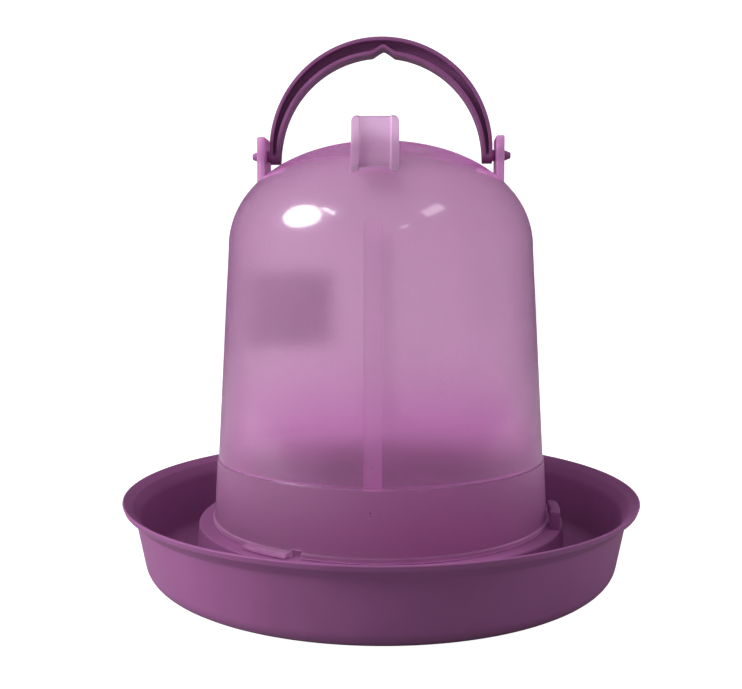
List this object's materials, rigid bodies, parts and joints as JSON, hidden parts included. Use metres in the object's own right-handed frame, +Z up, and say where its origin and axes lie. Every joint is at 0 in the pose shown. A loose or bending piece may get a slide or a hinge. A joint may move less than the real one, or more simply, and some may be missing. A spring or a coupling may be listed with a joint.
{
  "type": "poultry waterer fount",
  "caption": "Gravity waterer for poultry: a domed reservoir twist-locks onto a round drinking tray and hangs or carries by a swinging handle.",
  "frame": {"origin": "centre of the tray's underside, on the surface that the fount stands on", "axes": "+Z up along the reservoir's axis, +X along the handle's hinge axis, -Y towards the front lug"},
  "size_m": [0.302, 0.302, 0.31],
  "materials": {
    "tray_plastic": "satin",
    "reservoir_plastic": "satin, slightly translucent",
    "handle_plastic": "satin",
    "label_film": "matte"
  },
  "bodies": {
    "tray": {"drinking_tray": "tray_plastic"},
    "bell": {"reservoir_bell": "reservoir_plastic", "back_label": "label_film"},
    "handle": {"carry_handle": "handle_plastic"}
  },
  "joints": [
    {"name": "bell_twist", "type": "hinge", "parent": "tray", "child": "bell", "pos_m": [0, 0, 0.0291], "axis": [0, 0, 1], "range_deg": [-3, 25]},
    {"name": "handle_swing", "type": "hinge", "parent": "bell", "child": "handle", "pos_m": [0, 0, 0.2426], "axis": [1, 0, 0], "range_deg": [-75, 75]}
  ]
}
